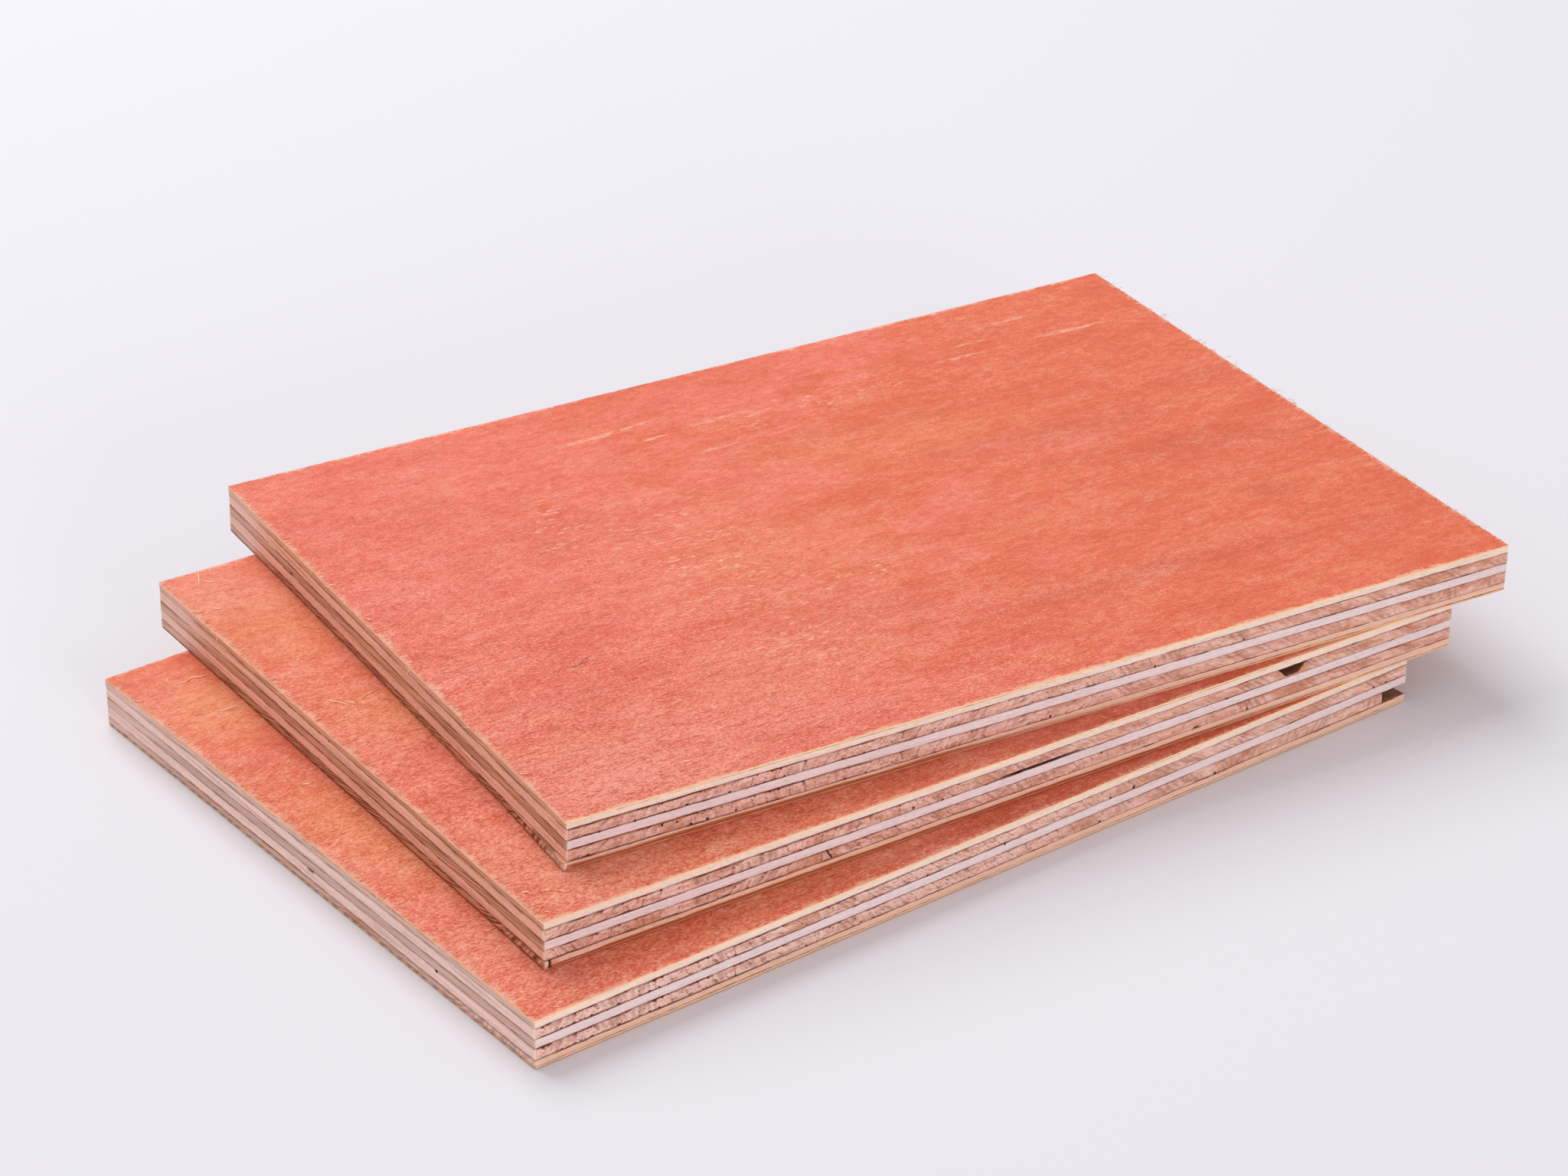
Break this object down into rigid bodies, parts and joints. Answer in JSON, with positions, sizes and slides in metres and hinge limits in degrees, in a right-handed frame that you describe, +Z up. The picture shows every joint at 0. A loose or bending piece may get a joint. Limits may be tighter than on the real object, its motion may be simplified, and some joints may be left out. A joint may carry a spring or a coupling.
{
  "type": "stack of plywood sheets",
  "caption": "Small red-faced plywood sheets lying flat in a fanned stack, with their glued plies showing on every sawn edge.",
  "frame": {"origin": "centre of the underside of the bottom sheet", "axes": "+X along the bottom sheet's long edges, to the right as seen from its front edge; +Y across it; +Z up, out of the sheets' stained faces"},
  "size_m": [0.2982, 0.2061, 0.036],
  "materials": {
    "stained_face": "sanded veneer with a red-orange stain",
    "long_grain_ply": "sawn edge, pale sapwood",
    "cross_grain_ply": "sawn edge, pinkish brown end grain",
    "back_veneer": "sanded veneer, unstained"
  },
  "bodies": {
    "root": {"bottom_sheet_face_veneer": "stained_face", "bottom_sheet_upper_long_ply": "long_grain_ply", "bottom_sheet_upper_cross_ply": "cross_grain_ply", "bottom_sheet_centre_ply": "long_grain_ply", "bottom_sheet_lower_cross_ply": "cross_grain_ply", "bottom_sheet_lower_long_ply": "long_grain_ply", "bottom_sheet_back_veneer": "back_veneer", "middle_sheet_face_veneer": "stained_face", "middle_sheet_upper_long_ply": "long_grain_ply", "middle_sheet_upper_cross_ply": "cross_grain_ply", "middle_sheet_centre_ply": "long_grain_ply", "middle_sheet_lower_cross_ply": "cross_grain_ply", "middle_sheet_lower_long_ply": "long_grain_ply", "middle_sheet_back_veneer": "back_veneer", "top_sheet_face_veneer": "stained_face", "top_sheet_upper_long_ply": "long_grain_ply", "top_sheet_upper_cross_ply": "cross_grain_ply", "top_sheet_centre_ply": "long_grain_ply", "top_sheet_lower_cross_ply": "cross_grain_ply", "top_sheet_lower_long_ply": "long_grain_ply", "top_sheet_back_veneer": "back_veneer"}
  },
  "joints": []
}
